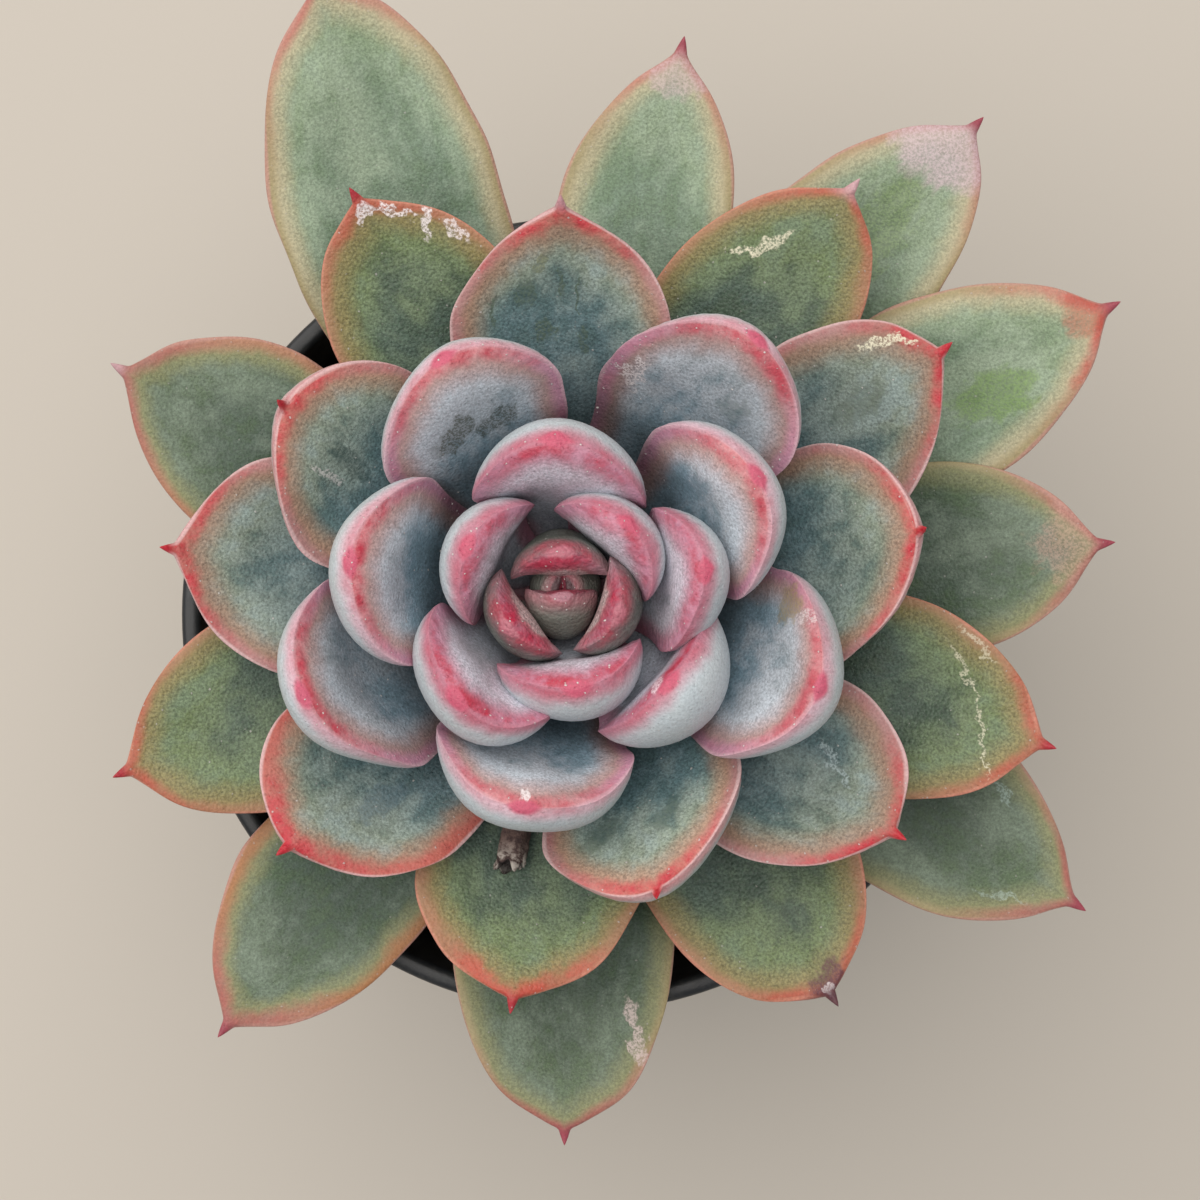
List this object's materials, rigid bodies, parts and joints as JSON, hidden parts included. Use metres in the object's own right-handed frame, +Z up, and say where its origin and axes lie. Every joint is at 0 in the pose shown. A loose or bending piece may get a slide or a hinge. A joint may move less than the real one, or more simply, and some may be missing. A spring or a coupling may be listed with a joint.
{
  "type": "potted echeveria pulidonis",
  "caption": "Rosette of fleshy blue-green leaves with red margins and pointed tips, on a short stem in a round tapered black pot filled with potting soil.",
  "frame": {"origin": "centre of the flat underside of the pot, on material, where the pot rests", "axes": "+Z up along the pot's axis, +X to the right and +Y to the top of the view from above; the rosette's own axis stands 1.5 mm to -X and 2.7 mm to +Y of the pot's axis"},
  "size_m": [0.1094, 0.1255, 0.1112],
  "materials": {
    "pot": "satin black moulded plastic",
    "soil": "loose dark peat and bark potting mix with grit",
    "stem": "matte fleshy stem with leaf scars",
    "dry_stalk": "dry wrinkled stub",
    "outer_leaf": "matte waxy green with a thin salmon margin",
    "middle_leaf": "matte waxy blue-green bloom with a red margin",
    "inner_leaf": "matte waxy blue-grey and pink with a wide red margin"
  },
  "bodies": {
    "root": {"pot": "pot", "soil": "soil", "stem": "stem", "dry_flower_stalk": "dry_stalk", "leaf_01": "outer_leaf", "leaf_02": "outer_leaf", "leaf_03": "outer_leaf", "leaf_04": "outer_leaf", "leaf_05": "outer_leaf", "leaf_06": "outer_leaf", "leaf_07": "outer_leaf", "leaf_08": "outer_leaf", "leaf_09": "outer_leaf", "leaf_10": "middle_leaf", "leaf_11": "middle_leaf", "leaf_12": "middle_leaf", "leaf_13": "middle_leaf", "leaf_14": "middle_leaf", "leaf_15": "middle_leaf", "leaf_16": "middle_leaf", "leaf_17": "middle_leaf", "leaf_18": "middle_leaf", "leaf_19": "middle_leaf", "leaf_20": "middle_leaf", "leaf_21": "middle_leaf", "leaf_22": "middle_leaf", "leaf_23": "middle_leaf", "leaf_24": "inner_leaf", "leaf_25": "inner_leaf", "leaf_26": "inner_leaf", "leaf_27": "inner_leaf", "leaf_28": "inner_leaf", "leaf_29": "inner_leaf", "leaf_30": "inner_leaf", "leaf_31": "inner_leaf", "leaf_32": "inner_leaf", "leaf_33": "inner_leaf", "leaf_34": "inner_leaf", "leaf_35": "inner_leaf", "leaf_36": "inner_leaf", "leaf_37": "inner_leaf", "leaf_38": "inner_leaf", "leaf_39": "inner_leaf", "leaf_40": "inner_leaf", "leaf_41": "inner_leaf", "leaf_42": "inner_leaf", "leaf_43": "inner_leaf"}
  },
  "joints": []
}
